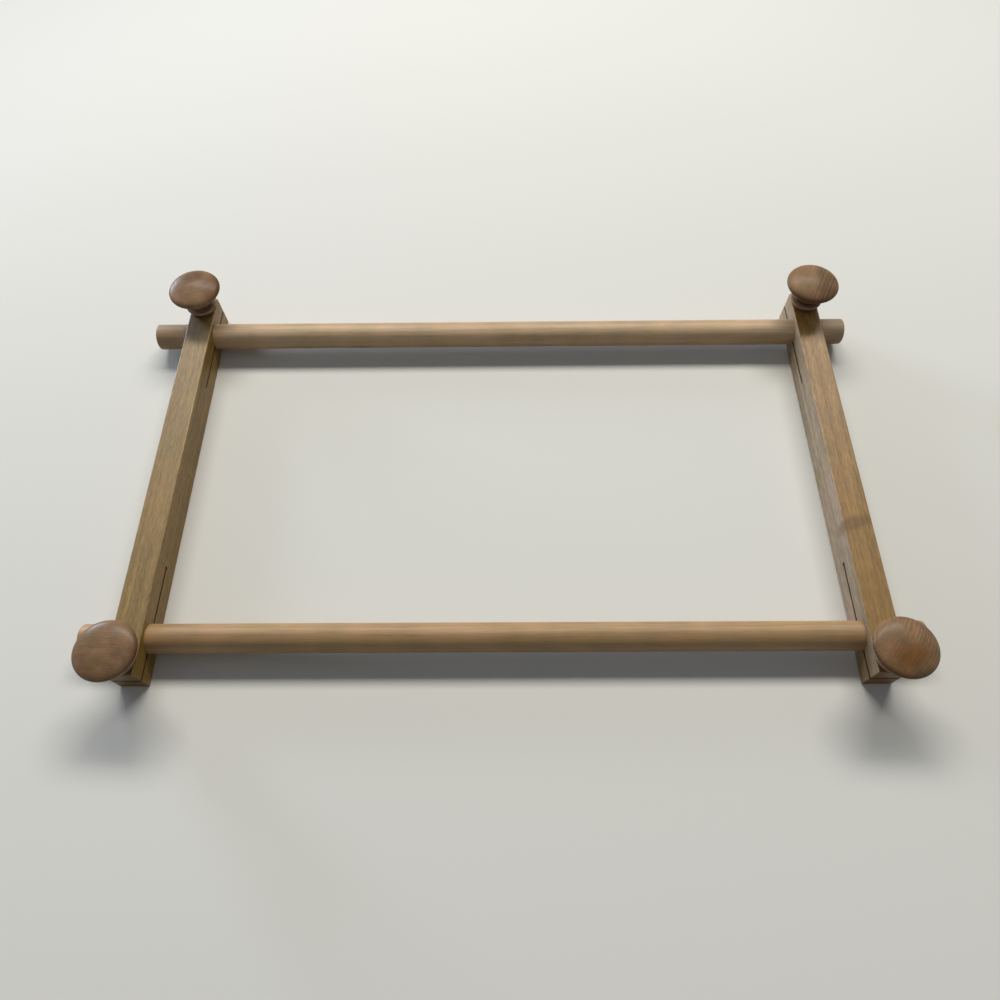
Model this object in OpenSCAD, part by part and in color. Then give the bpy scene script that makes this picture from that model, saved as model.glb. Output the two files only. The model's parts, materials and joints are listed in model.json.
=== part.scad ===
// Scroll frame for needlework: two slit side bars, two plain rollers and four clamp knobs.
// Each end of a side bar is a pair of jaws round a roller. A bolt pushed up through both jaws
// turns into the insert of a wooden knob, and screwing the knob down pinches the roller.
// X runs along the rollers, Y from the front roller to the rear one, Z up. The origin is at
// table level, under the middle of the rear roller's length and midway along the side bars.

/* [Side bars] */
// Length of a side bar
bar_l = 304.8; // [220:0.1:500]
// Width of a side bar, along the rollers
bar_w = 19; // [18:0.1:30]
// Height of a side bar
bar_h = 25.4; // [21:0.1:40]
// Distance between the two side bars, centre to centre
bar_spacing = 470; // [60:1:900]
// Radius of the softened edges of a side bar
bar_edge_r = 0.8; // [0.3:0.1:2]
// Saw slit between the two jaws
slit_w = 1.5; // [0.8:0.1:3]
// Depth of the saw slit, from the end of the bar
slit_l = 78; // [50:1:105]

/* [Rollers] */
// Diameter of both rollers
roller_d = 19; // [12:0.1:22.8]
// How far both rollers stand out beyond the right side bar
right_standout = 19.3; // [2:0.1:60]
// How far the rear roller stands out beyond the left side bar
rear_left_standout = 25.7; // [2:0.1:60]
// How far the front roller stands out beyond the left side bar
front_left_standout = 23.3; // [2:0.1:60]
// Roller axis from the end of the side bar
roller_inset = 27.6; // [25:0.1:36]
// Chamfer on the ends of a roller
roller_chamfer = 0.7; // [0.2:0.1:2]
// Gap all round between a roller and its hole
roller_clearance = 0.05; // [0.02:0.01:0.1]

/* [Knobs] */
// Diameter of the mushroom cap
knob_d = 38; // [30:0.5:48]
// Height of a knob, from the side bar up
knob_h = 25; // [21:0.5:34]
// Height of the crown, above the cap's widest circle
crown_h = 5.7; // [3:0.1:7]
// Depth of the cap below its widest circle
cap_under = 4.2; // [3:0.1:5]
// Knob axis from the end of the side bar
knob_inset = 9.5; // [8.5:0.1:11]
// Diameter of the foot that bears on the side bar
foot_d = 20; // [16:0.1:22]
// Diameter of the bead round the foot
bead_d = 23.6; // [18:0.1:26]
// Height of the middle of the bead
bead_z = 4.5; // [4:0.1:5]
// Thickness of the bead
bead_t = 1.8; // [1:0.1:2]
// Diameter at the bottom of the groove above the bead
groove_d = 17.2; // [14:0.1:18]
// Height of each sloping wall of the groove
groove_wall_h = 0.75; // [0.1:0.05:0.8]
// Diameter of the collar above the groove
collar_d = 20.8; // [18:0.1:23]
// Height of the middle of the collar
collar_z = 9.3; // [8.2:0.1:10]
// Thickness of the collar
collar_t = 1.8; // [1:0.1:2.4]
// Diameter of the neck between the collar and the cap
neck_d = 18.8; // [17:0.1:20]

/* [Bolts and inserts] */
// Diameter of the bolt, over its thread
bolt_d = 6.35; // [5:0.05:7.65]
// How far the bolt reaches up into its knob
bolt_reach = 10.4; // [8:0.1:13]
// Diameter of the domed bolt head
head_d = 15; // [11:0.1:16]
// Height of the domed bolt head
head_h = 3.7; // [2.5:0.1:4]
// Depth of the head's crown below the face of the bar
head_sink = 0.3; // [0.1:0.1:1]
// How much wider than the bolt its square neck is
square_extra = 0.35; // [0.1:0.05:1.5]
// Length of the bolt's square neck
square_l = 4.8; // [3:0.1:6]
// Outer diameter of the threaded insert
insert_d = 10.4; // [8.5:0.1:12.5]
// Length of the threaded insert, with its flange
insert_l = 12; // [10:0.1:14.5]
// Width of the insert's flange, beyond its body
insert_flange_w = 1.3; // [0.3:0.1:1.6]
// Thickness of the insert's flange
insert_flange_t = 1.2; // [0.8:0.1:2]
// Gap all round between bolt and insert, and between insert and knob
thread_clearance = 0.05; // [0.02:0.01:0.1]
// Gap all round between the bolt and the drilled jaws
bolt_clearance = 0.35; // [0.2:0.05:0.6]

/* [Hidden] */

// Longer than any cut needs to be, so that no cut ends on a face
past = 1;
// Gap all round a bolt's head, and round its square neck
pocket_gap = 0.3;
neck_gap = 0.05;
// Bolt tip: its chamfer, and the room left over it in the knob
tip_chamfer = 1;
tip_room = 2.5;
// How far the insert sits up inside the foot of the knob
insert_recess = 0.4;
// Chamfer at the bottom edge of the foot
foot_chamfer = 0.6;
// Steps in each curved stretch of a turned profile, and facets in a full circle
arc_steps = 10;
crown_steps = 16;
$fn = 96;

right_part_l = bar_spacing + bar_w + right_standout;
rear_roller_l = right_part_l + rear_left_standout;
front_roller_l = right_part_l + front_left_standout;
right_bar_x = rear_roller_l / 2 - right_standout - bar_w / 2;
left_bar_x = right_bar_x - bar_spacing;
front_roller_x = (rear_roller_l - front_roller_l) / 2;
roller_y = bar_l / 2 - roller_inset;
knob_y = bar_l / 2 - knob_inset;
roller_z = bar_h / 2;
jaw_t = (bar_h - slit_w) / 2;
head_seat_z = head_sink + head_h;
bolt_top_z = bar_h + bolt_reach;
neck_w = bolt_d + square_extra;
square_hole_w = neck_w + 2 * neck_gap;
bolt_hole_d = bolt_d + 2 * bolt_clearance;
insert_flange_d = insert_d + 2 * insert_flange_w;
insert_top_z = insert_recess + insert_l;
insert_flange_top_z = insert_recess + insert_flange_t;

bar_colour = "#b59f78";
roller_colour = "#c9a981";
knob_colour = "#8f745b";
steel_colour = "#b9bcc0";
brass_colour = "#c3a35f";

// Points on an ellipse round centre c with radii r, from angle a0 to angle a1
function arc(c, r, a0, a1, steps) = [
    for (i = [0:steps])
        let (a = a0 + (a1 - a0) * i / steps)
        [c[0] + r[0] * cos(a), c[1] + r[1] * sin(a)]
];

// Rectangle w by h about the origin with rounded corners, made of true circles
module rounded_rectangle(w, h, r) {
    square([w - 2 * r, h], center = true);
    square([w, h - 2 * r], center = true);
    for (x = [-1, 1], y = [-1, 1])
        translate([x * (w / 2 - r), y * (h / 2 - r)])
            circle(r = r);
}

// Stick with all its long and short edges rounded, standing on the table
module stick() {
    translate([0, 0, bar_h / 2])
        intersection() {
            rotate([90, 0, 0])
                linear_extrude(bar_l, center = true)
                    rounded_rectangle(bar_w, bar_h, bar_edge_r);
            linear_extrude(bar_h, center = true)
                rounded_rectangle(bar_w, bar_l, bar_edge_r);
            rotate([0, 90, 0])
                linear_extrude(bar_w, center = true)
                    rounded_rectangle(bar_h, bar_l, bar_edge_r);
        }
}

// What is cut away at the rear end of a side bar: roller hole, slit and bolt hole
module end_cuts() {
    translate([0, roller_y, roller_z])
        rotate([0, 90, 0])
            cylinder(h = bar_w + 2 * past, d = roller_d + 2 * roller_clearance, center = true);
    translate([-bar_w / 2 - past, bar_l / 2 - slit_l, jaw_t])
        cube([bar_w + 2 * past, slit_l + past, slit_w]);
    translate([0, knob_y, -past]) {
        cylinder(h = bar_h + 2 * past, d = bolt_hole_d);
        cylinder(h = past + head_seat_z, d = head_d + 2 * pocket_gap);
    }
    translate([-square_hole_w / 2, knob_y - square_hole_w / 2, head_seat_z])
        cube([square_hole_w, square_hole_w, square_l]);
}

// One side bar about x = 0: both ends are alike
module side_bar() {
    difference() {
        stick();
        end_cuts();
        mirror([0, 1, 0])
            end_cuts();
    }
}

// Plain round roller of length l about its middle, lying along X
module roller(l) {
    rotate([0, 90, 0])
        rotate_extrude()
            polygon([
                [0, -l / 2],
                [roller_d / 2 - roller_chamfer, -l / 2],
                [roller_d / 2, -l / 2 + roller_chamfer],
                [roller_d / 2, l / 2 - roller_chamfer],
                [roller_d / 2 - roller_chamfer, l / 2],
                [0, l / 2]
            ]);
}

// Half outline of a knob, from the foot up to the crown, with its height from the side bar
function knob_profile() = let (
    rim_r = knob_d / 2,
    rim_z = knob_h - crown_h,
    neck_r = neck_d / 2,
    bead_r = bead_t / 2,
    collar_r = collar_t / 2
) concat(
    [[0, 0], [foot_d / 2 - foot_chamfer, 0], [foot_d / 2, foot_chamfer], [foot_d / 2, bead_z - bead_r]],
    arc([bead_d / 2 - bead_r, bead_z], [bead_r, bead_r], -90, 90, arc_steps),
    [[groove_d / 2, bead_z + bead_r + groove_wall_h], [groove_d / 2, collar_z - collar_r - groove_wall_h]],
    arc([collar_d / 2 - collar_r, collar_z], [collar_r, collar_r], -90, 90, arc_steps),
    [[neck_r, collar_z + collar_r]],
    arc([neck_r, rim_z], [rim_r - neck_r, cap_under], -90, 0, arc_steps),
    arc([0, rim_z], [rim_r, crown_h], 90 / crown_steps, 90, crown_steps - 1)
);

// Turned knob with its foot at z = 0, bored from beneath for the insert and the bolt's tip
module clamp_knob() {
    difference() {
        rotate_extrude()
            polygon(knob_profile());
        translate([0, 0, -past]) {
            cylinder(h = past + insert_top_z, d = insert_d + 2 * thread_clearance);
            cylinder(h = past + insert_flange_top_z, d = insert_flange_d + 2 * thread_clearance);
        }
        cylinder(h = max(bolt_reach, insert_top_z) + tip_room, d = bolt_hole_d);
    }
}

// Threaded insert with the foot of its knob at z = 0
module knob_insert() {
    translate([0, 0, insert_recess])
        difference() {
            union() {
                cylinder(h = insert_l, d = insert_d);
                cylinder(h = insert_flange_t, d = insert_flange_d);
            }
            translate([0, 0, -past])
                cylinder(h = insert_l + 2 * past, d = bolt_d + 2 * thread_clearance);
        }
}

// Bolt with a domed head and a square neck, standing on its head, with the table at z = 0
module clamp_bolt() {
    rotate_extrude()
        polygon(concat(
            arc([0, head_seat_z], [head_d / 2, head_h], -90, 0, arc_steps),
            [
                [bolt_d / 2, head_seat_z],
                [bolt_d / 2, bolt_top_z - tip_chamfer],
                [bolt_d / 2 - tip_chamfer, bolt_top_z],
                [0, bolt_top_z]
            ]
        ));
    translate([-neck_w / 2, -neck_w / 2, head_seat_z])
        cube([neck_w, neck_w, square_l]);
}

// Places: a bar's x, and -1 for the front end or 1 for the rear end of the bar
module on_bar(x, end, z = 0) {
    translate([x, end * knob_y, z])
        children();
}

module left_side_bar() { color(bar_colour) translate([left_bar_x, 0, 0]) side_bar(); }
module right_side_bar() { color(bar_colour) translate([right_bar_x, 0, 0]) side_bar(); }

module front_roller() {
    color(roller_colour)
        translate([front_roller_x, -roller_y, roller_z])
            roller(front_roller_l);
}
module rear_roller() {
    color(roller_colour)
        translate([0, roller_y, roller_z])
            roller(rear_roller_l);
}

module front_left_knob() { color(knob_colour) on_bar(left_bar_x, -1, bar_h) clamp_knob(); }
module rear_left_knob() { color(knob_colour) on_bar(left_bar_x, 1, bar_h) clamp_knob(); }
module front_right_knob() { color(knob_colour) on_bar(right_bar_x, -1, bar_h) clamp_knob(); }
module rear_right_knob() { color(knob_colour) on_bar(right_bar_x, 1, bar_h) clamp_knob(); }

module front_left_insert() { color(brass_colour) on_bar(left_bar_x, -1, bar_h) knob_insert(); }
module rear_left_insert() { color(brass_colour) on_bar(left_bar_x, 1, bar_h) knob_insert(); }
module front_right_insert() { color(brass_colour) on_bar(right_bar_x, -1, bar_h) knob_insert(); }
module rear_right_insert() { color(brass_colour) on_bar(right_bar_x, 1, bar_h) knob_insert(); }

module front_left_bolt() { color(steel_colour) on_bar(left_bar_x, -1) clamp_bolt(); }
module rear_left_bolt() { color(steel_colour) on_bar(left_bar_x, 1) clamp_bolt(); }
module front_right_bolt() { color(steel_colour) on_bar(right_bar_x, -1) clamp_bolt(); }
module rear_right_bolt() { color(steel_colour) on_bar(right_bar_x, 1) clamp_bolt(); }

left_side_bar();
right_side_bar();
front_roller();
rear_roller();
front_left_knob();
rear_left_knob();
front_right_knob();
rear_right_knob();
front_left_insert();
rear_left_insert();
front_right_insert();
rear_right_insert();
front_left_bolt();
rear_left_bolt();
front_right_bolt();
rear_right_bolt();
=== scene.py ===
"""Looks of a needlework scroll frame: turned clamp knobs, dowel rollers, carriage bolts and brass inserts
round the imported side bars, each in wood or metal of its own, on a plain pale floor."""
import json
import math
import bpy
import numpy as np
from mathutils import Matrix, Vector


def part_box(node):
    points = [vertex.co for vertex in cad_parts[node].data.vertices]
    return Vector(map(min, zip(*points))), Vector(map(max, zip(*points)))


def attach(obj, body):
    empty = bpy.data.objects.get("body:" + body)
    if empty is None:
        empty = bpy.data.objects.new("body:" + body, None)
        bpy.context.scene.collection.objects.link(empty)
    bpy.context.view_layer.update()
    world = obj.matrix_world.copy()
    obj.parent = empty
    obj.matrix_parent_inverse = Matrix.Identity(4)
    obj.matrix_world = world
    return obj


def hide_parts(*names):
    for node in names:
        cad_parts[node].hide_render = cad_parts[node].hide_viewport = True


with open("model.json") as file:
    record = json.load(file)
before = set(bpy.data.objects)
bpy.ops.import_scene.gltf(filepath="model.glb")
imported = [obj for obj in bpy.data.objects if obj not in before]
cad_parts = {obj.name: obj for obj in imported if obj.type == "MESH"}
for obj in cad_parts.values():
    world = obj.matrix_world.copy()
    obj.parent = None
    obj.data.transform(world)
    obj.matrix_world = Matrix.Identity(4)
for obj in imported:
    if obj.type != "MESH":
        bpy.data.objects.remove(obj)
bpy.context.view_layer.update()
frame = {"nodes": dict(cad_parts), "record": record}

MM = 0.001

# Camera: where the photograph was taken from, in metres and degrees in the frame's own axes.
EYE = (0.00611, -0.27868, 0.46408)
PITCH_DOWN, YAW_LEFT, PICTURE_ROLL = 63.14, 1.30, -1.49
PICTURE_W, FOCAL_PX, OPTICAL_AXIS_Y_PX = 1000.0, 742.84, 532.48
SENSOR_MM, NEAREST_M = 36.0, 0.01

# Knob, in millimetres of radius and of height above the bar's top.
FOOT_R, BEAD_R, GROOVE_R, COLLAR_R, NECK_R, RIM_R = 10.0, 11.8, 8.6, 10.4, 9.4, 19.0
FOOT_CHAMFER, BEAD_Z, BEAD_T, GROOVE_Z, GROOVE_TOP_Z = 0.6, 4.5, 1.8, 6.15, 7.65
COLLAR_Z, COLLAR_T, NECK_TOP_Z, CAP_UNDER, CROWN_H = 9.3, 1.8, 15.1, 4.2, 5.7
BEAD_FILLET, GROOVE_FILLET, GROOVE_TOP_FILLET, GROOVE_LIFT = 0.25, 0.5, 0.35, 0.1
COLLAR_FILLET, UNDER_FILLET = 0.3, 1.2
SHANK_BORE_R, SHANK_BORE_TOP = 3.525, 14.9
INSERT_BORE_R, INSERT_BORE_TOP = 5.25, 12.4
FLANGE_BORE_R, FLANGE_BORE_TOP = 6.55, 1.6
KNOB_ROW, KNOB_COLUMNS = 0.9, 160

# Roller, bolt and insert, in millimetres.
ROLLER_R, ROLLER_ARRIS, ROLLER_ROW, ROLLER_COLUMNS = 9.5, 0.7, 6.0, 96
HEAD_R, HEAD_H, HEAD_FILLET, SQUARE_HALF, SQUARE_H = 7.5, 3.7, 0.15, 3.35, 4.8
SQUARE_CORNER = 1.34  # the eased corner's distance from the axis, in half sides
SHANK_R, TIP_CHAMFER = 3.175, 1.0
BOLT_PITCH, BOLT_THREAD_DEPTH, THREAD_FROM_TIP = 1.27, 0.6, 22.0
INSERT_R, INSERT_FLANGE_R, INSERT_FLANGE_T, INSERT_FILLET = 5.2, 6.5, 1.2, 0.15
INSERT_HOLE_R, INSERT_TIP_CHAMFER, INSERT_HOLE_CHAMFER = 3.225, 0.5, 0.4
INSERT_PITCH, INSERT_THREAD_DEPTH, INSERT_THREAD_START = 2.4, 0.5, 0.3
ROWS_A_TURN, ROWS_A_BORE_TURN, METAL_COLUMNS = 12, 10, 64
THREAD_FLANK, THREAD_FLAT = 1.25, 0.12  # how steep the bolt's thread is and how wide its crest
COARSE_FLANK, COARSE_FLAT = 1.6, 0.3  # the same for the insert's outer thread
BORE_THREAD = 0.5  # the insert's inner thread, as a share of the bolt's depth
HAIR = 0.01  # sizes closer than this are taken as one
SHARP_FROM = 38  # degrees between faces

# Wood. Sizes are in millimetres, and the last of three is along the grain.
SLOW_MM, STREAK_MM = (40, 40, 150), (3.5, 3.5, 120)
UNEVEN_SCALE, UNEVEN_YEARS = 0.3, 1.8  # how growth varies, per year and in years
LATEWOOD = ((0.0, 0.3), (0.2, 0.0), (0.6, 0.2), (0.88, 1.0), (1.0, 0.3))  # how dark, by part of a year
LATEWOOD_MEAN = 0.35
VESSEL_FROM, VESSEL_TO = 0.60, 0.72
SLOW_SPREAD, FAINTEST, STRONGEST = 0.15, 0.5, 1.2  # how strong the growth layers are, from place to place
MARK_WANDER = (1.2, 1.2, 1.2)  # how far slow noise moves a mark's edge, in its radii
MARK_EDGE, MARK_CORE = 1.15, 0.35  # where a mark starts and where it is full, in its radii
ARRIS_HIGHLIGHT_BREAK, ARRIS_HIGHLIGHT_FULL = 0.16, 1.08  # fibres break up the painted highlight on the arris
# KERF_DARKER sets how much painted shade darkens the saw kerfs.
LEVEL_FROM, KERF_Z, KERF_DARKER = 0.9, 0.3, -0.8
INNER_FROM = 0.6
CUT_END_FROM, CUT_END_TO = 0.3, 0.95
FIBRE_HEIGHT, PORE_DEPTH, GRAIN_RELIEF_MM = 0.6, 0.8, 0.06
PALE_SMOOTHER = 0.12  # how much less rough the palest wood is than the darkest
WOOD_IOR, WAX_ROUGHNESS = 1.5, 0.28

# Metal: clouds in its gloss and colour, and grit.
CLOUD_MM, CLOUD_FROM, CLOUD_TO, BRIGHT_FROM = 4, 0.3, 0.7, 0.6
SMOOTHER, ROUGHER, DULL = 0.06, 0.08, 0.72
GRIT_RELIEF_MM = 0.02


def show(name, data):
    """A new object in the scene, at the origin."""
    new = bpy.data.objects.new(name, data)
    bpy.context.scene.collection.objects.link(new)
    return new


def place_camera():
    """Camera axes are right, up and back. Forward is pitched down from +Y and yawed about Z, and the
    picture is then rolled about it."""
    pitch, yaw, roll = (math.radians(a) for a in (PITCH_DOWN, YAW_LEFT, PICTURE_ROLL))
    forward = Vector((-math.sin(yaw) * math.cos(pitch), math.cos(yaw) * math.cos(pitch), -math.sin(pitch)))
    level_right = Vector((math.cos(yaw), math.sin(yaw), 0))
    level_up = level_right.cross(forward)
    right = math.cos(roll) * level_right + math.sin(roll) * level_up
    up = math.cos(roll) * level_up - math.sin(roll) * level_right
    data = bpy.data.cameras.new("camera")
    data.sensor_width = SENSOR_MM
    data.lens = SENSOR_MM * FOCAL_PX / PICTURE_W
    data.shift_y = (OPTICAL_AXIS_Y_PX - PICTURE_W / 2) / PICTURE_W
    data.clip_start = NEAREST_M
    camera = show("camera", data)
    camera.matrix_world = Matrix.Translation(EYE) @ Matrix((right, up, -forward)).transposed().to_4x4()
    bpy.context.scene.camera = camera


def linear(hex_colour):
    """sRGB hex to the linear colour that shaders take, with its alpha."""
    parts = [int(hex_colour[i:i + 2], 16) / 255 for i in (1, 3, 5)]
    return tuple(c / 12.92 if c <= 0.04045 else ((c + 0.055) / 1.055) ** 2.4 for c in parts) + (1.0,)


def add(tree, kind, inputs=None, stops=None, **settings):
    """Adds one node: settings are its properties, inputs the numbers, sockets or nodes (their first
    output) that feed its inputs, and stops the (position, colour) pairs of a ramp."""
    node = tree.nodes.new(kind)
    for key, value in settings.items():
        setattr(node, key, value)
    for key, value in (inputs or {}).items():
        if isinstance(value, bpy.types.Node):
            value = value.outputs[0]
        if isinstance(value, bpy.types.NodeSocket):
            tree.links.new(value, node.inputs[key])
        else:
            node.inputs[key].default_value = value
    if stops:
        elements = node.color_ramp.elements
        while len(elements) < len(stops):
            elements.new(1.0)
        for element, (position, colour) in zip(elements, stops):
            element.position = position
            element.color = colour
    return node


def new_material(name):
    """An empty material, its node tree and its output node."""
    material = bpy.data.materials.new(name)
    material.use_nodes = True
    material.node_tree.nodes.clear()
    return material, material.node_tree, material.node_tree.nodes.new("ShaderNodeOutputMaterial")


def tint(tree, shade, amount, times):
    """shade (1 + amount (times - 1)): red, green and blue are times as strong where amount is 1."""
    veil = add(tree, "ShaderNodeVectorMath", {0: amount, 1: tuple(t - 1 for t in times), 2: (1, 1, 1)},
               operation="MULTIPLY_ADD")
    return add(tree, "ShaderNodeVectorMath", {0: shade, 1: veil}, operation="MULTIPLY")


def log_point(tree, coordinates, centre, heading, dip, turn):
    """The place in the log, in millimetres with Z along the grain, and the grain's direction."""
    log = Matrix.Rotation(math.radians(heading), 3, "Z") @ Matrix.Rotation(math.radians(-dip), 3, "Y")
    axis = log @ Vector((1, 0, 0))
    log = log @ Matrix.Rotation(math.radians(turn), 3, "X") @ Matrix.Rotation(math.pi / 2, 3, "Y")
    point = add(tree, "ShaderNodeMapping", {
        "Vector": coordinates["Object"], "Location": centre, "Rotation": log.to_euler(),
        "Scale": (MM, MM, MM)}, vector_type="TEXTURE")
    return point, axis


def growth_layers(tree, bent, pith_mm, ring_mm):
    """How dark the growth layers are. The distance from the pith, which lies pith_mm from the piece's
    middle, is counted in years of ring_mm, some wider than others."""
    across = add(tree, "ShaderNodeVectorMath", {0: bent, 1: (1, 1, 0), 2: (pith_mm, 0, 0)},
                 operation="MULTIPLY_ADD")
    radius = add(tree, "ShaderNodeVectorMath", {0: across}, operation="LENGTH").outputs["Value"]
    years = add(tree, "ShaderNodeMath", {0: radius, 1: ring_mm}, operation="DIVIDE")
    uneven = add(tree, "ShaderNodeTexNoise", {"W": years, "Scale": UNEVEN_SCALE, "Detail": 1.0},
                 noise_dimensions="1D")
    years = add(tree, "ShaderNodeMath", {0: uneven, 1: UNEVEN_YEARS, 2: years}, operation="MULTIPLY_ADD")
    season = add(tree, "ShaderNodeMath", {0: years}, operation="FRACT")
    return add(tree, "ShaderNodeValToRGB", {"Fac": season},
               stops=[(part, (dark, dark, dark, 1)) for part, dark in LATEWOOD])


def stick_faces(tree, coordinates, centre, half, inner, fibres, arris_highlight_by, tone, shade):
    """Arrises of a squared stick get a painted highlight: they are lighter where both |x| and |z| come near
    their half sizes. Level walls near mid height are its saw kerfs, darkened with painted shade. inner is
    the way that its inner face looks along X, 1 or -1, and how many times as strong red, green and blue are
    on that face, which paints the light and shade of that face."""
    box = add(tree, "ShaderNodeMapping", {"Vector": coordinates["Object"], "Location": centre,
                                          "Scale": tuple(MM * h for h in half)}, vector_type="TEXTURE")
    box = add(tree, "ShaderNodeVectorMath", {0: box}, operation="ABSOLUTE")
    box = add(tree, "ShaderNodeSeparateXYZ", {0: box}).outputs
    # A painted highlight makes the arrises lighter.
    arris_highlight = add(tree, "ShaderNodeMath", {0: box["X"], 1: box["Z"]}, operation="MINIMUM")
    arris_highlight = add(tree, "ShaderNodeMath", {0: fibres, 1: ARRIS_HIGHLIGHT_BREAK, 2: arris_highlight}, operation="MULTIPLY_ADD")
    arris_highlight = add(tree, "ShaderNodeMapRange", {"Value": arris_highlight, "From Min": 1.0, "From Max": ARRIS_HIGHLIGHT_FULL})
    tone = add(tree, "ShaderNodeMath", {0: arris_highlight, 1: arris_highlight_by, 2: tone}, operation="MULTIPLY_ADD")

    looks = add(tree, "ShaderNodeSeparateXYZ", {0: coordinates["Normal"]}).outputs
    level = add(tree, "ShaderNodeMath", {0: looks["Z"]}, operation="ABSOLUTE")
    level = add(tree, "ShaderNodeMath", {0: level, 1: LEVEL_FROM}, operation="GREATER_THAN")
    # Painted shade: level walls near mid height, the saw kerfs, are darkened.
    kerf = add(tree, "ShaderNodeMath", {0: box["Z"], 1: KERF_Z}, operation="LESS_THAN")
    kerf = add(tree, "ShaderNodeMath", {0: kerf, 1: level}, operation="MULTIPLY")
    kerf = add(tree, "ShaderNodeMath", {0: kerf, 1: KERF_DARKER, 2: 1.0}, operation="MULTIPLY_ADD")
    shade = add(tree, "ShaderNodeVectorMath", {0: shade, 1: kerf}, operation="MULTIPLY")

    # Painted light and shade: the inner face gets a tint of its own.
    inwards, times = inner
    inwards = add(tree, "ShaderNodeMath", {0: looks["X"], 1: inwards}, operation="MULTIPLY")
    inwards = add(tree, "ShaderNodeMapRange", {"Value": inwards, "From Min": INNER_FROM, "From Max": 1.0})
    return tone, tint(tree, shade, inwards, times)


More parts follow.
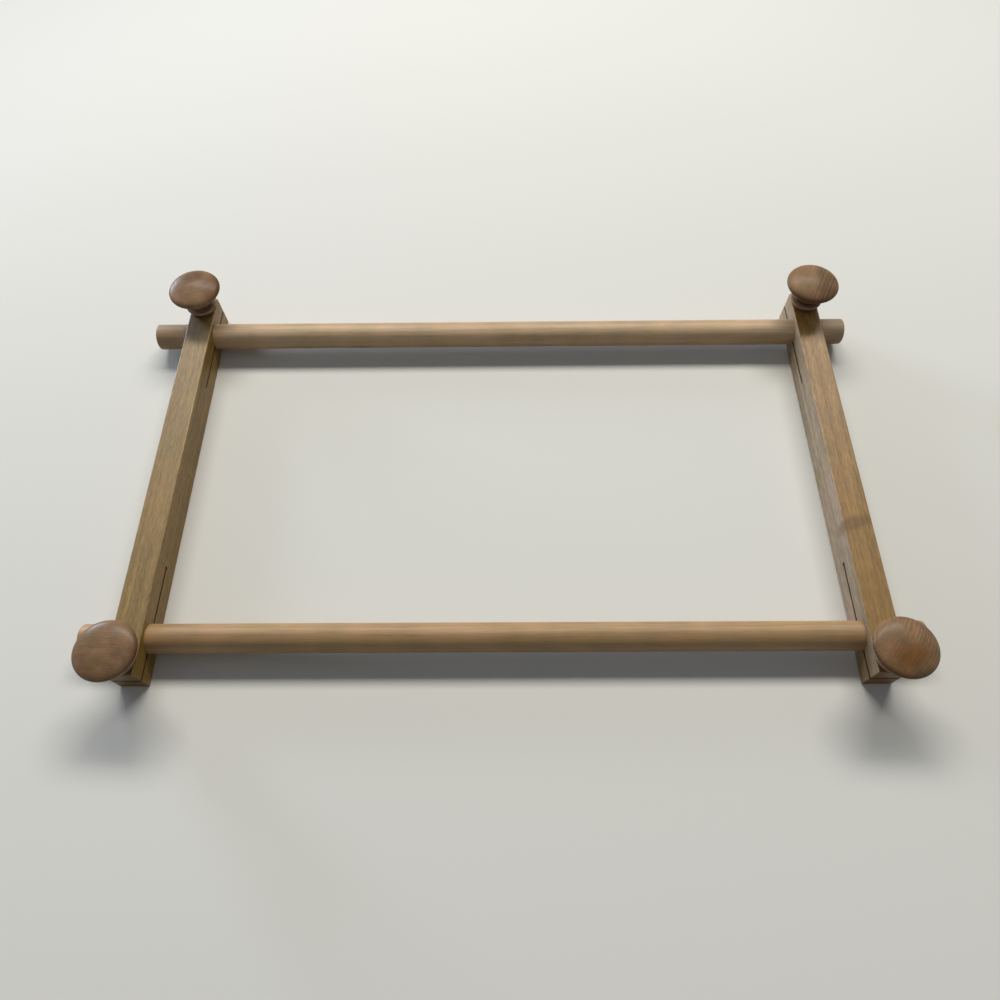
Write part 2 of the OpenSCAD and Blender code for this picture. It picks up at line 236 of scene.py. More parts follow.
def solid_wood(name, centre, heading, dip, turn, pith_mm, ring_mm, tones, end_tone, figure, finish,
               marks=(), half=None, inner=None):
    """Wood as a solid cut from a log, in millimetres about the piece's own centre. The grain points
    heading degrees from +X towards +Y and dip degrees up; turn is how the log is turned about it. At turn
    0 the growth layers lie flat. They are bent by slow noise. Fibres, streaks and vessels are noise drawn
    out along the grain. A mark is (place, radii, heading, times, fade): a soft egg-shaped place, in the
    piece's own axes, whose red, green and blue are so many times as strong and where the growth layers
    fade by fade. Cut ends are darker, as end grain drinks the finish. half, if given, is a squared stick's
    half sizes, and inner then says what stick_faces needs of its inner face."""
    material, tree, output = new_material(name)
    coordinates = add(tree, "ShaderNodeTexCoord").outputs
    point, axis = log_point(tree, coordinates, centre, heading, dip, turn)
    slow = add(tree, "ShaderNodeVectorMath", {0: point, 1: SLOW_MM}, operation="DIVIDE")
    slow = add(tree, "ShaderNodeTexNoise", {"Vector": slow, "Scale": 1.0, "Detail": 2.0})
    slow = add(tree, "ShaderNodeVectorMath", {0: slow.outputs["Color"], 1: (0.5, 0.5, 0.5)},
               operation="SUBTRACT")
    bent = add(tree, "ShaderNodeVectorMath", {0: slow, 1: (figure["bend"], figure["bend"], 0), 2: point},
               operation="MULTIPLY_ADD")
    latewood = growth_layers(tree, bent, pith_mm, ring_mm)

    fibres = add(tree, "ShaderNodeVectorMath", {0: bent, 1: figure["fibre_size"]}, operation="DIVIDE")
    fibres = add(tree, "ShaderNodeTexNoise", {"Vector": fibres, "Scale": 1.0, "Detail": 3.0,
                                              "Roughness": 0.6})
    streaks = add(tree, "ShaderNodeVectorMath", {0: bent, 1: STREAK_MM}, operation="DIVIDE")
    streaks = add(tree, "ShaderNodeTexNoise", {"Vector": streaks, "Scale": 1.0, "Detail": 2.0})
    clouds = add(tree, "ShaderNodeTexNoise", {"Vector": point, "Scale": 1 / figure["cloud_mm"],
                                              "Detail": 2.0})
    vessels = add(tree, "ShaderNodeVectorMath", {0: bent, 1: figure["vessel_size"]}, operation="DIVIDE")
    vessels = add(tree, "ShaderNodeTexNoise", {"Vector": vessels, "Scale": 1.0, "Detail": 1.0})
    vessels = add(tree, "ShaderNodeMapRange", {"Value": vessels, "From Min": VESSEL_FROM,
                                               "From Max": VESSEL_TO})

    contrast = add(tree, "ShaderNodeMapRange", {"Value": slow, "From Min": -SLOW_SPREAD,
                                                "From Max": SLOW_SPREAD, "To Min": FAINTEST,
                                                "To Max": STRONGEST})
    drift = figure["drift"]
    shade = add(tree, "ShaderNodeVectorMath", {0: clouds.outputs["Color"], 1: drift,
                                               2: tuple(1 - d / 2 for d in drift)},
                operation="MULTIPLY_ADD")
    for place, radii, mark_heading, times, fade in marks:
        spot = add(tree, "ShaderNodeMapping", {
            "Vector": coordinates["Object"], "Location": tuple(c + MM * p for c, p in zip(centre, place)),
            "Rotation": (0, 0, math.radians(mark_heading)), "Scale": tuple(MM * r for r in radii)},
                   vector_type="TEXTURE")
        spot = add(tree, "ShaderNodeVectorMath", {0: slow, 1: MARK_WANDER, 2: spot},
                   operation="MULTIPLY_ADD")
        spot = add(tree, "ShaderNodeVectorMath", {0: spot}, operation="LENGTH").outputs["Value"]
        spot = add(tree, "ShaderNodeMapRange", {"Value": spot, "From Min": MARK_EDGE,
                                                "From Max": MARK_CORE}, interpolation_type="SMOOTHSTEP")
        shade = tint(tree, shade, spot, times)
        kept = add(tree, "ShaderNodeMath", {0: spot, 1: -fade, 2: 1.0}, operation="MULTIPLY_ADD")
        contrast = add(tree, "ShaderNodeMath", {0: contrast, 1: kept}, operation="MULTIPLY")
    latewood = add(tree, "ShaderNodeMath", {0: latewood.outputs["Color"], 1: LATEWOOD_MEAN},
                   operation="SUBTRACT")
    latewood = add(tree, "ShaderNodeMath", {0: latewood, 1: contrast}, operation="MULTIPLY")
    tone = add(tree, "ShaderNodeMath", {0: latewood, 1: -figure["rings"], 2: 0.5},
               operation="MULTIPLY_ADD")
    for pattern, share in ((fibres, "fibres"), (streaks, "streaks"), (clouds, "clouds")):
        centred = add(tree, "ShaderNodeMath", {0: pattern, 1: 0.5}, operation="SUBTRACT")
        tone = add(tree, "ShaderNodeMath", {0: centred, 1: figure[share], 2: tone},
                   operation="MULTIPLY_ADD")
    tone = add(tree, "ShaderNodeMath", {0: vessels, 1: -figure["vessels"], 2: tone},
               operation="MULTIPLY_ADD")
    if half:
        tone, shade = stick_faces(tree, coordinates, centre, half, inner, fibres, finish["arris_highlight"],
                                  tone, shade)
    dark, middle, light = (linear(t) for t in tones)
    colour = add(tree, "ShaderNodeValToRGB", {"Fac": tone}, stops=[(0.0, dark), (0.5, middle),
                                                                   (1.0, light)])
    colour = add(tree, "ShaderNodeVectorMath", {0: colour.outputs["Color"], 1: shade},
                 operation="MULTIPLY")

    facing = add(tree, "ShaderNodeVectorMath", {0: coordinates["Normal"], 1: axis},
                 operation="DOT_PRODUCT").outputs["Value"]
    facing = add(tree, "ShaderNodeMath", {0: facing}, operation="ABSOLUTE")
    cut_end = add(tree, "ShaderNodeMapRange", {"Value": facing, "From Min": CUT_END_FROM,
                                               "From Max": CUT_END_TO}, interpolation_type="SMOOTHSTEP")
    colour = add(tree, "ShaderNodeMix", {"Factor": cut_end, 6: colour, 7: linear(end_tone)},
                 data_type="RGBA", blend_type="MULTIPLY").outputs[2]

    pores = add(tree, "ShaderNodeMath", {0: vessels, 1: -PORE_DEPTH}, operation="MULTIPLY")
    height = add(tree, "ShaderNodeMath", {0: fibres, 1: FIBRE_HEIGHT, 2: pores}, operation="MULTIPLY_ADD")
    bump = add(tree, "ShaderNodeBump", {"Height": height, "Strength": finish["relief"],
                                        "Distance": GRAIN_RELIEF_MM * MM})
    rough = add(tree, "ShaderNodeMath", {0: tone, 1: -PALE_SMOOTHER,
                                         2: finish["roughness"] + PALE_SMOOTHER / 2},
                operation="MULTIPLY_ADD")
    shader = add(tree, "ShaderNodeBsdfPrincipled", {
        "Base Color": colour, "Roughness": rough, "Normal": bump, "IOR": WOOD_IOR,
        "Specular IOR Level": finish["specular"], "Coat Weight": finish["wax"],
        "Coat Roughness": WAX_ROUGHNESS})
    tree.links.new(shader.outputs[0], output.inputs["Surface"])
    return material


def worked_metal(name, colour, roughness, grit_mm, relief):
    """Bare or plated metal: clouds make it smoother, rougher and duller in places, and fine grit is in its
    relief."""
    material, tree, output = new_material(name)
    coordinates = add(tree, "ShaderNodeTexCoord").outputs["Object"]
    grit = add(tree, "ShaderNodeTexNoise", {"Vector": coordinates, "Scale": 1 / (grit_mm * MM),
                                            "Detail": 4.0})
    cloud = add(tree, "ShaderNodeTexNoise", {"Vector": coordinates, "Scale": 1 / (CLOUD_MM * MM),
                                             "Detail": 2.0})
    rough = add(tree, "ShaderNodeMapRange", {
        "Value": cloud, "From Min": CLOUD_FROM, "From Max": CLOUD_TO, "To Min": roughness - SMOOTHER,
        "To Max": roughness + ROUGHER})
    bright = linear(colour)
    dull = tuple(DULL * c for c in bright[:3]) + (1.0,)
    base = add(tree, "ShaderNodeValToRGB", {"Fac": cloud}, stops=[(CLOUD_FROM, dull),
                                                                  (BRIGHT_FROM, bright)])
    bump = add(tree, "ShaderNodeBump", {"Height": grit, "Strength": relief,
                                        "Distance": GRIT_RELIEF_MM * MM})
    shader = add(tree, "ShaderNodeBsdfPrincipled", {"Base Color": base, "Roughness": rough,
                                                    "Normal": bump, "Metallic": 1.0})
    tree.links.new(shader.outputs[0], output.inputs["Surface"])
    return material


def arc(centre, radii, start, end, steps):
    """Points (radius, height) on an ellipse from angle start to angle end, in degrees: the centre plus
    (radius of the ellipse times cos a, its height times sin a)."""
    a = np.radians(np.linspace(start, end, steps + 1))
    return np.stack([centre[0] + radii[0] * np.cos(a), centre[1] + radii[1] * np.sin(a)], 1)


def rounded(r, h, radius, start, end, steps):
    """Points of an arc on a circle about (r, h)."""
    return arc((r, h), (radius, radius), start, end, steps)


def rows_between(outline, longest):
    """The outline with extra points on its straight stretches, none longer than longest."""
    points = [outline[:1]]
    for a, b in zip(outline[:-1], outline[1:]):
        steps = max(1, math.ceil(np.hypot(*(b - a)) / longest))
        points.append(a + (b - a) * (np.arange(1, steps + 1)[:, None] / steps))
    return np.concatenate(points)


def turned(name, outline, centre, columns, material, shape=None, along="Z", closed=False):
    """Turns a half outline, in millimetres, round its axis: every outline point (r, h) becomes a ring of
    points (r cos a, r sin a, h). The outline runs outwards along the foot, up the outside and back, so that
    faces point outwards. Where it starts or ends on the axis it closes in one point; a closed one meets
    itself round a bore. shape(r, h, a), if given, says the radius instead, for threads and square necks.
    along X lays the axis down."""
    outline = np.asarray(outline, float)
    poles = [] if closed else [i for i in (0, len(outline) - 1) if outline[i, 0] < HAIR]
    rings = np.delete(outline, poles, 0)
    a = np.broadcast_to(np.arange(columns) * 2 * math.pi / columns, (len(rings), columns))
    r, h = (np.broadcast_to(rings[:, k:k + 1], a.shape) for k in (0, 1))
    if shape is not None:
        r = shape(r, h, a)
    points = np.stack([r * np.cos(a), r * np.sin(a), h], -1).reshape(-1, 3)
    points = np.concatenate([points] + [[[0, 0, outline[i, 1]]] for i in poles])
    if along == "X":
        points = points[:, [2, 0, 1]]
    points = points * MM + np.array(centre)
    row = np.arange(len(rings) if closed else len(rings) - 1)[:, None] * columns
    above = (row + columns) % (len(rings) * columns)
    column = np.arange(columns)[None, :]
    beside = (column + 1) % columns
    faces = np.stack([row + column, row + beside, above + beside, above + column], -1)
    faces = faces.reshape(-1, 4).tolist()
    for k, i in enumerate(poles):
        ring = column[0] if i == 0 else column[0] + (len(rings) - 1) * columns
        pair = (np.roll(ring, -1), ring) if i == 0 else (ring, np.roll(ring, -1))
        faces += np.stack([*pair, np.full(columns, len(rings) * columns + k)], -1).tolist()
    mesh = bpy.data.meshes.new(name)
    mesh.from_pydata(points.tolist(), [], faces)
    mesh.materials.append(material)
    mesh.shade_smooth()
    mesh.set_sharp_from_angle(angle=math.radians(SHARP_FROM))
    return show(name, mesh)


def knob_outline():
    """From the bore's end, down the stepped bore, out along the foot, up over bead, groove, collar and
    neck, round the cap's under side and over its crown. Bead and collar are half rounds, the under side is
    a quarter and the crown half of an ellipse."""
    crown_z = NECK_TOP_Z + CAP_UNDER
    bead_low, collar_top = BEAD_Z - BEAD_T / 2, COLLAR_Z + COLLAR_T / 2
    return rows_between(np.concatenate([
        [[0, SHANK_BORE_TOP], [SHANK_BORE_R, SHANK_BORE_TOP],
         [SHANK_BORE_R, INSERT_BORE_TOP], [INSERT_BORE_R, INSERT_BORE_TOP],
         [INSERT_BORE_R, FLANGE_BORE_TOP], [FLANGE_BORE_R, FLANGE_BORE_TOP], [FLANGE_BORE_R, 0]],
        rounded(FOOT_R - FOOT_CHAMFER, FOOT_CHAMFER, FOOT_CHAMFER, -90, 0, 6),
        rounded(FOOT_R + BEAD_FILLET, bead_low - BEAD_FILLET, BEAD_FILLET, 180, 90, 4),
        rounded(BEAD_R - BEAD_T / 2, BEAD_Z, BEAD_T / 2, -90, 90, 14),
        rounded(GROOVE_R + GROOVE_FILLET, GROOVE_Z + GROOVE_LIFT, GROOVE_FILLET, 230, 180, 5),
        rounded(GROOVE_R + GROOVE_TOP_FILLET, GROOVE_TOP_Z + GROOVE_LIFT, GROOVE_TOP_FILLET, 180, 110, 5),
        rounded(COLLAR_R - COLLAR_T / 2, COLLAR_Z, COLLAR_T / 2, -80, 80, 12),
        rounded(NECK_R + COLLAR_FILLET, collar_top + COLLAR_FILLET, COLLAR_FILLET, 250, 180, 4),
        rounded(NECK_R + UNDER_FILLET, NECK_TOP_Z - UNDER_FILLET, UNDER_FILLET, 180, 94, 8),
        arc((NECK_R, crown_z), (RIM_R - NECK_R, CAP_UNDER), -82, 0, 28),
        arc((0, crown_z), (RIM_R, CROWN_H), 2, 90, 44)]), KNOB_ROW)


def roller_outline(length):
    """A plain dowel: flat end, softened arris, straight side, softened arris, flat end."""
    half, inside_r = length / 2, ROLLER_R - ROLLER_ARRIS
    outline = rows_between(np.concatenate([
        [[0, -half]], rounded(inside_r, ROLLER_ARRIS - half, ROLLER_ARRIS, -90, 0, 6),
        rounded(inside_r, half - ROLLER_ARRIS, ROLLER_ARRIS, 0, 90, 6), [[0, half]]]), ROLLER_ROW)
    outline[[0, -1], 0] = 0
    return outline


def bolt_outline(reach):
    """A carriage bolt on its head: domed head, flat seat, square neck (its rows have the half width of the
    square as radius), shank and chamfered tip, with rows close enough together for the thread."""
    seat, thread_low = HEAD_H, reach - THREAD_FROM_TIP
    shank = [[SHANK_R, seat + SQUARE_H + 2 * HAIR], [SHANK_R, thread_low]]
    thread_h = np.arange(thread_low, reach - TIP_CHAMFER, BOLT_PITCH / ROWS_A_TURN)
    return np.concatenate([
        arc((0, seat), (HEAD_R, HEAD_H), -90, -3, 24),
        rounded(HEAD_R - HEAD_FILLET, seat - HEAD_FILLET, HEAD_FILLET, 0, 90, 4),
        [[SQUARE_HALF, seat], [SQUARE_HALF, seat + SQUARE_H]], shank,
        np.stack([np.full_like(thread_h, SHANK_R), thread_h], 1),
        [[SHANK_R, reach - TIP_CHAMFER], [SHANK_R - TIP_CHAMFER, reach], [0, reach]]])


def zigzag(h, a, pitch):
    """Down from 1 to 0 and back once a pitch, along a helix: |2 frac(height / pitch - turn) - 1|."""
    return np.abs(2 * ((h / pitch - a / (2 * math.pi)) % 1) - 1)


def bolt_shape(reach):
    """The radius round a bolt. Square rows follow the sides of a square with eased corners. In the threaded
    stretch the radius falls from the crest's flat by a clipped zigzag, which runs in over one pitch."""
    def shape(r, h, a):
        side = SQUARE_HALF / np.maximum(np.abs(np.cos(a)), np.abs(np.sin(a)))
        square = np.minimum(side, SQUARE_HALF * SQUARE_CORNER)
        depth = np.clip(THREAD_FLANK * zigzag(h, a, BOLT_PITCH) - THREAD_FLAT, 0, 1)
        run_in = np.clip((h - (reach - THREAD_FROM_TIP)) / BOLT_PITCH, 0, 1)
        thread = r - BOLT_THREAD_DEPTH * depth * run_in
        is_thread = np.abs(r - SHANK_R) < HAIR
        return np.where(np.isclose(r, SQUARE_HALF), square, np.where(is_thread, thread, r))
    return shape


def insert_outline(length):
    """A closed outline round the threaded hole: flange, its edge, coarse outside, top, and down the bore."""
    outside_h = np.arange(INSERT_FLANGE_T + INSERT_THREAD_START, length - INSERT_TIP_CHAMFER,
                          INSERT_PITCH / ROWS_A_TURN)
    bore_h = np.arange(length - INSERT_HOLE_CHAMFER, INSERT_HOLE_CHAMFER, -BOLT_PITCH / ROWS_A_BORE_TURN)
    edge_r = INSERT_FLANGE_R - INSERT_FILLET
    return np.concatenate([
        rounded(edge_r, INSERT_FILLET, INSERT_FILLET, -90, 0, 3),
        rounded(edge_r, INSERT_FLANGE_T - INSERT_FILLET, INSERT_FILLET, 0, 90, 3),
        [[INSERT_R, INSERT_FLANGE_T]], np.stack([np.full_like(outside_h, INSERT_R), outside_h], 1),
        [[INSERT_R - INSERT_TIP_CHAMFER, length], [INSERT_HOLE_R + INSERT_HOLE_CHAMFER, length]],
        np.stack([np.full_like(bore_h, INSERT_HOLE_R), bore_h], 1),
        [[INSERT_HOLE_R + INSERT_HOLE_CHAMFER, 0]]])


def insert_shape(r, h, a):
    """The radius round an insert. Outside, above the flange, a coarse wood thread is cut in by a clipped
    zigzag; inside, the bolt's thread is cut outwards from the bore, half as deep as on the bolt."""
    coarse = np.clip(COARSE_FLANK * zigzag(h, a, INSERT_PITCH) - COARSE_FLAT, 0, 1)
    is_outside = np.isclose(r, INSERT_R) & (h > INSERT_FLANGE_T + HAIR)
    bore = r + BORE_THREAD * BOLT_THREAD_DEPTH * zigzag(h, a, BOLT_PITCH)
    return np.where(is_outside, r - INSERT_THREAD_DEPTH * coarse,
                    np.where(np.isclose(r, INSERT_HOLE_R), bore, r))


def paint(node, material):
    """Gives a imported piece, whose shape stays, its finish."""
    for material_slot in frame["nodes"][node].material_slots:
        material_slot.material = material


def stand_for(piece, node):
    """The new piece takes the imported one's place on its body."""
    body = next(b for b, nodes in frame["record"]["behaviour"]["bodies"].items() if node in nodes)
    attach(piece, body)
    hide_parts(node)


def middle_of(node):
    """The middle of a piece's box."""
    low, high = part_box(node)
    return (low + high) / 2


def foot_of(node):
    """The middle of a piece's lowest face."""
    low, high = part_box(node)
    return Vector(((low.x + high.x) / 2, (low.y + high.y) / 2, low.z))


def height_of(node):
    """A piece's height in millimetres."""
    low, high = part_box(node)
    return (high.z - low.z) / MM


place_camera()

# Side bars: planed and sanded straight-grained maple, left bare. Pale tan with fine broken streaks along
# the bar and a slight sheen. The fibres are about 0.1 mm wide and are drawn 0.5 mm wide, to show. The
# inner face is painted darker and yellower on the left bar, painted shade, and greyer and paler on the right
# one, a painted sheen, except at its front end. A near-black spot of painted shade ends each front slit. The
# right bar's top has a brown smudge, is more golden at the rear and, with painted shade, a little darker in
# front.
BAR_FIGURE = {"bend": 1.5, "rings": 0.15, "fibre_size": (0.5, 0.5, 7.0), "fibres": 1.6, "streaks": 0.7,
              "cloud_mm": 26.0, "clouds": 0.25, "vessel_size": (0.6, 0.6, 3.5), "vessels": 0.12,
              "drift": (0.15, 0.08, 0.35)}
# The finish's arris value sets how strong the painted highlight on the arrises is.
BAR_FINISH = {"relief": 0.3, "roughness": 0.45, "arris_highlight": 0.25, "specular": 0.45, "wax": 0.0}
BAR_HALF, BAR_END_TONE = (9.5, 152.4, 12.7), "#bca86f"
# Painted shade: a near-black spot at the inner end of each front slit.
SLIT_END_SHADE = ((0, -75.2, 0), (60, 1.9, 1.9), 0, (0.03, 0.025, 0.02), 0.0)
RIGHT_BAR_MARKS = [
    SLIT_END_SHADE,
    ((0, -50, 12), (16, 6, 14), 16, (0.62, 0.57, 0.45), 0.0),  # smudge on the top
    # Painted light: this takes most of the inner face's painted sheen back at its front end.
    ((-12.5, -146, 0), (5, 27, 32), 0, (0.58, 0.42, 0.12), 0.0),  # front end of the inner face
    ((0, 130, 18), (40, 110, 12), 0, (1.0, 0.98, 0.78), 0.0),  # golden rear of the top
    # Painted shade: the front of the top is a little darker.
    ((0, -120, 18), (40, 70, 12), 0, (0.9, 0.91, 0.93), 0.0),  # darker front of the top
]
# The left bar's inner tint is painted shade: that face is darker and yellower.
left_maple = solid_wood("maple_planed_and_sanded_left", middle_of("left_side_bar"), heading=90, dip=0.3,
                        turn=24, pith_mm=60, ring_mm=2.6, tones=("#544320", "#806739", "#a0844e"),
                        end_tone=BAR_END_TONE, figure=BAR_FIGURE, finish=BAR_FINISH, marks=[SLIT_END_SHADE],
                        half=BAR_HALF, inner=(1, (0.88, 0.8, 0.55)))
# The right bar's inner tint is a painted sheen: that face is paler and greyer.
right_maple = solid_wood("maple_planed_and_sanded_right", middle_of("right_side_bar"), heading=90, dip=-0.3,
                         turn=-35, pith_mm=55, ring_mm=2.2, tones=("#57401c", "#856533", "#a78249"),
                         end_tone=BAR_END_TONE, figure=BAR_FIGURE, finish=BAR_FINISH,
                         marks=RIGHT_BAR_MARKS, half=BAR_HALF, inner=(-1, (1.34, 1.8, 4.5)))
paint("left_side_bar", left_maple)
paint("right_side_bar", right_maple)

# Rollers: sanded birch dowel. Pinker and smoother than the bars, faint long streaks and a few soft blotches.
# The rear one has a paler side, a painted highlight that faces up and forwards, and its ends are darkened by
# painted shadow of the knobs.
ROLLER_FIGURE = {"bend": 6.0, "rings": 0.10, "fibre_size": (0.8, 0.8, 30), "fibres": 0.5, "streaks": 0.4,
                 "cloud_mm": 22.0, "clouds": 0.35, "vessel_size": (0.8, 0.8, 9), "vessels": 0.10,
                 "drift": (0.2, 0.06, 0.35)}
ROLLER_FINISH = {"relief": 0.25, "roughness": 0.5, "specular": 0.4, "wax": 0.0}
# The paler side is a painted highlight; the darker ends are painted shadow of the knobs.
REAR_MARKS = [((0, -4.75, 8.2), (900, 6.1, 6.1), 0, (1.45, 1.55, 1.7), 0.0),  # paler side
              ((-265, 0, 0), (32, 20, 20), 0, (0.66, 0.64, 0.66), 0.0),  # left end
              ((265, 0, 0), (32, 20, 20), 0, (0.68, 0.66, 0.66), 0.0)]  # right end
for node, turn, tones, marks in (("front_roller", 35, ("#664d30", "#997b55", "#b5946c"), []),
                                 ("rear_roller", 70, ("#6f583f", "#a98d6b", "#c2a687"), REAR_MARKS)):
    birch = solid_wood("birch_dowel_sanded_" + node.split("_")[0], middle_of(node), heading=0, dip=0.4,
                       turn=turn, pith_mm=24, ring_mm=2.4, tones=tones, end_tone="#c4b09a",
                       figure=ROLLER_FIGURE, finish=ROLLER_FINISH, marks=marks)
    low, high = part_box(node)
    dowel = turned(node + "_dowel", roller_outline((high.x - low.x) / MM), middle_of(node),
                   ROLLER_COLUMNS, birch, along="X")
    stand_for(dowel, node)

# Knobs: lathe-turned beech, waxed. Browner and glossier than the rest; growth layers cut by the crown
# show as lines where they stand steep and as plain or dark pools where they lie level with it.
KNOB_FIGURE = {"bend": 5.0, "fibre_size": (0.8, 0.8, 5), "streaks": 0.25, "cloud_mm": 12.0, "clouds": 0.6,
               "vessel_size": (0.75, 0.75, 2.0), "drift": (0.3, 0.1, 0.3)}
KNOB_FINISH = {"relief": 0.2, "roughness": 0.5, "specular": 0.04}
KNOB_TONES, KNOB_END_TONE = ("#453222", "#785e44", "#9d8063"), "#c8b4a4"
# On every knob the bead and the neck are painted paler, which is painted light and sheen, painted shade
# darkens the groove above the bead, and no growth lines show below the cap.
BELOW_CAP = [((0, 0, 4.2), (22, 22, 2.6), 0, (2.3, 2.8, 3.8), 0.0),  # bead
             ((0, 0, 7), (22, 22, 2.2), 0, (0.42, 0.3, 0.2), 0.0),  # groove
             ((0, 0, 13), (16, 16, 6), 0, (1.8, 1.95, 2.1), 0.0),  # neck
             ((0, 0, 9), (30, 30, 8), 0, (1.0, 1.0, 1.0), 1.0)]  # all below the cap
KNOBS = {
    "front_left": dict(heading=2, dip=4, turn=15, pith_mm=30, ring_mm=1.6, rings=0.12, fibres=0.45,
                       vessels=0.14, wax=0.24, marks=[]),
    "rear_left": dict(heading=20, dip=3, turn=10, pith_mm=28, ring_mm=1.8, rings=0.10, fibres=0.4,
                      vessels=0.1, wax=0.16,
                      marks=[((-1, 9, 22), (9, 7, 9), 0, (0.65, 0.58, 0.52), 0.5),  # dark pool
                             # Painted light and shade: a paler front and a darker right.
                             ((-3, -13, 20), (24, 11, 9), 0, (1.35, 1.4, 1.5), 0.3),  # pale front
                             ((16, 1, 20), (9, 20, 9), 0, (0.85, 0.78, 0.7), 0.0)]),  # darker right
    "front_right": dict(heading=48, dip=6, turn=70, pith_mm=26, ring_mm=1.9, rings=0.45, fibres=0.45,
                        vessels=0.10, wax=0.24,
                        marks=[((-1.5, -6, 22), (15, 9, 8), 10, (0.9, 0.73, 0.52), 0.9),  # brown pool
                               ((-9, -2, 22), (14, 26, 12), 0, (1.0, 0.96, 0.9), 0.95),  # plain left
                               ((2, -15, 22), (24, 12, 12), 0, (1.0, 0.96, 0.9), 0.95)]),  # and front
    "rear_right": dict(heading=64, dip=2, turn=62, pith_mm=60, ring_mm=1.8, rings=0.6, fibres=0.25,
                       vessels=0.1, wax=0.12,
                       # The plain left has no growth lines and is paler, which is painted light; the darker
                       # right is painted shade.
                       marks=[((-9, 0, 22), (15, 16, 9), 0, (1.25, 1.25, 1.22), 1.0),  # plain pale left
                              ((9, 0, 22), (12, 22, 9), 0, (0.8, 0.79, 0.77), 0.0)]),  # darker right
}
# Bolts and inserts: plated steel, pale grey with soft cloudy gloss, and turned brass, warmer and brighter.
zinc = worked_metal("steel_cold_headed_and_zinc_plated", "#b9bcc0", roughness=0.32, grit_mm=0.25, relief=0.3)
brass = worked_metal("brass_turned_bar_stock", "#b89a52", roughness=0.28, grit_mm=0.3, relief=0.2)
for end, cut in KNOBS.items():
    log = {fact: cut[fact] for fact in ("heading", "dip", "turn", "pith_mm", "ring_mm")}
    figure = {**KNOB_FIGURE, **{share: cut[share] for share in ("rings", "fibres", "vessels")}}
    foot = foot_of(end + "_knob")
    beech = solid_wood("beech_turned_and_waxed_" + end, foot, **log, tones=KNOB_TONES,
                       end_tone=KNOB_END_TONE, figure=figure, finish={**KNOB_FINISH, "wax": cut["wax"]},
                       marks=cut["marks"] + BELOW_CAP)
    knob = turned(end + "_turned_knob", knob_outline(), foot, KNOB_COLUMNS, beech)
    stand_for(knob, end + "_knob")
    reach = height_of(end + "_bolt")
    bolt = turned(end + "_carriage_bolt", bolt_outline(reach), foot_of(end + "_bolt"), METAL_COLUMNS, zinc,
                  bolt_shape(reach))
    stand_for(bolt, end + "_bolt")
    insert = turned(end + "_threaded_insert", insert_outline(height_of(end + "_insert")),
                    foot_of(end + "_insert"), METAL_COLUMNS, brass, insert_shape, closed=True)
    stand_for(insert, end + "_insert")


def seen_directly(tree):
    """1 for what the camera, mirrors and see-through pieces show, 0 for what lights the scene."""
    path = add(tree, "ShaderNodeLightPath").outputs
    seen = add(tree, "ShaderNodeMath", {0: path["Is Camera Ray"], 1: path["Is Glossy Ray"]},
               operation="MAXIMUM")
    return add(tree, "ShaderNodeMath", {0: seen, 1: path["Is Transmission Ray"]}, operation="MAXIMUM")


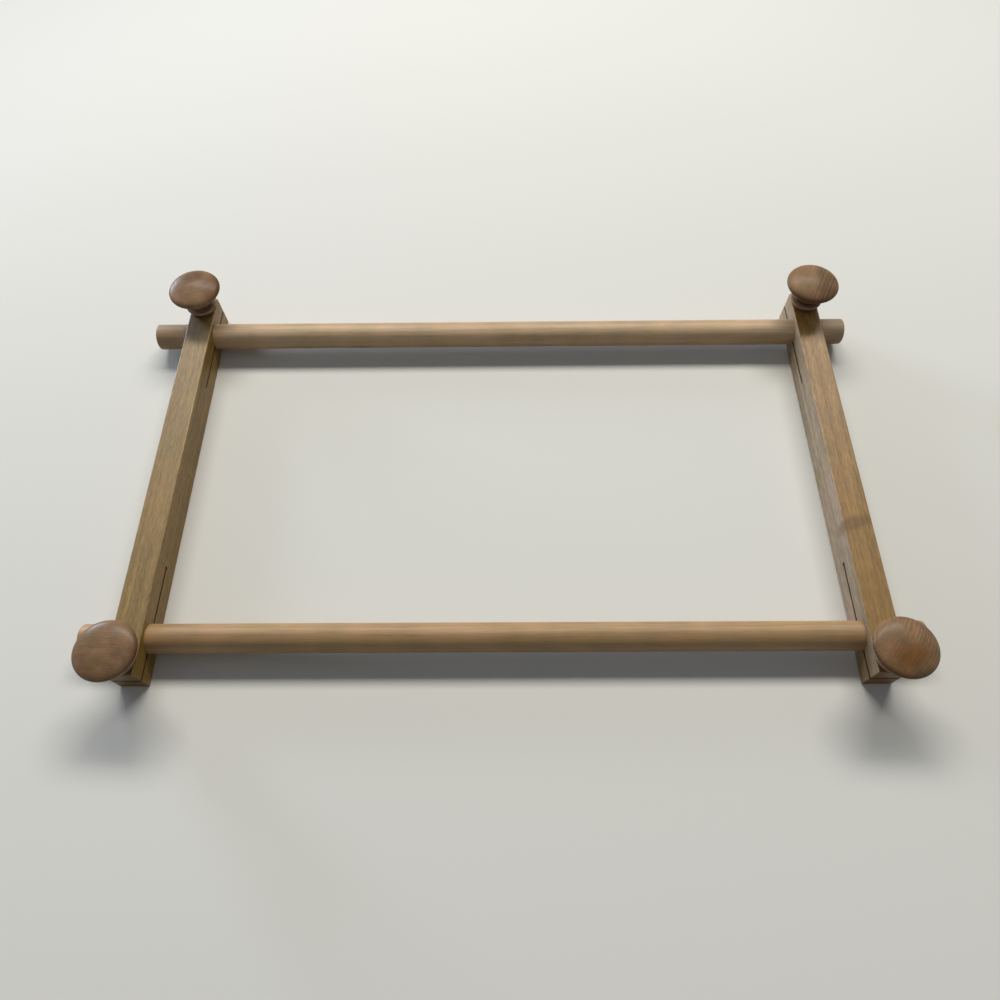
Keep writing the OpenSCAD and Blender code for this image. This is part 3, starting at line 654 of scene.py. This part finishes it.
# Floor: a plain sheet of pressed laminate, pale and matt, a hair under the bars. Well away from the object
# it fades into the backdrop, so that no edge or patch of lamp light shows behind the object.
BACKDROP = linear("#dcddd8")
FLOOR_HALF, FLOOR_Z = 4.0, -0.0001
FADE_FROM, FADE_TO = 0.5, 1.1
floor_mesh = bpy.data.meshes.new("floor")
floor_mesh.from_pydata([(FLOOR_HALF * x, FLOOR_HALF * y, FLOOR_Z)
                        for x, y in ((-1, -1), (1, -1), (1, 1), (-1, 1))], [], [(0, 1, 2, 3)])
laminate, tree, output = new_material("laminate_pressed_pale_matt")
shader = add(tree, "ShaderNodeBsdfPrincipled", {"Base Color": linear("#dbdcd7"), "Roughness": 0.85,
                                                "Specular IOR Level": 0.1})
away = add(tree, "ShaderNodeTexCoord").outputs["Object"]
away = add(tree, "ShaderNodeVectorMath", {0: away}, operation="LENGTH").outputs["Value"]
away = add(tree, "ShaderNodeMapRange", {"Value": away, "From Min": FADE_FROM, "From Max": FADE_TO},
           interpolation_type="SMOOTHSTEP")
away = add(tree, "ShaderNodeMath", {0: away, 1: seen_directly(tree)}, operation="MULTIPLY")
backdrop = add(tree, "ShaderNodeEmission", {"Color": BACKDROP, "Strength": 1.0})
mixed = add(tree, "ShaderNodeMixShader", {0: away, 1: shader, 2: backdrop})
tree.links.new(mixed.outputs[0], output.inputs["Surface"])
floor_mesh.materials.append(laminate)
floor = show("floor", floor_mesh)

# Lights: a wide key behind and above, and a low, cooler window behind on the left. Both face the origin.
LIGHTS = {"key": dict(place=(0.12, 2.02, 2.21), size=(3.0, 0.62), watts=100.0, colour="#fffaf2"),
          "window": dict(place=(-1.75, 1.45, 0.42), size=(0.7, 0.5), watts=32.0, colour="#d9e6ff")}
for name, light in LIGHTS.items():
    data = bpy.data.lights.new(name, "AREA")
    data.shape = "RECTANGLE"
    data.size, data.size_y = light["size"]
    data.energy = light["watts"]
    data.color = linear(light["colour"])[:3]
    place = Vector(light["place"])
    aim = (-place).to_track_quat("-Z", "Y").to_matrix().to_4x4()
    show(name, data).matrix_world = Matrix.Translation(place) @ aim

# World: soft light all round; the camera and mirror-like surfaces see a pale backdrop instead.
world = bpy.data.worlds.new("world")
world.use_nodes = True
tree = world.node_tree
tree.nodes.clear()
ambient = add(tree, "ShaderNodeBackground", {"Color": linear("#eef2f8"), "Strength": 0.18})
backdrop = add(tree, "ShaderNodeBackground", {"Color": BACKDROP, "Strength": 1.0})
mixed = add(tree, "ShaderNodeMixShader", {0: seen_directly(tree), 1: ambient, 2: backdrop})
add(tree, "ShaderNodeOutputWorld", {"Surface": mixed})
bpy.context.scene.world = world
bpy.context.scene.view_settings.view_transform = "Standard"
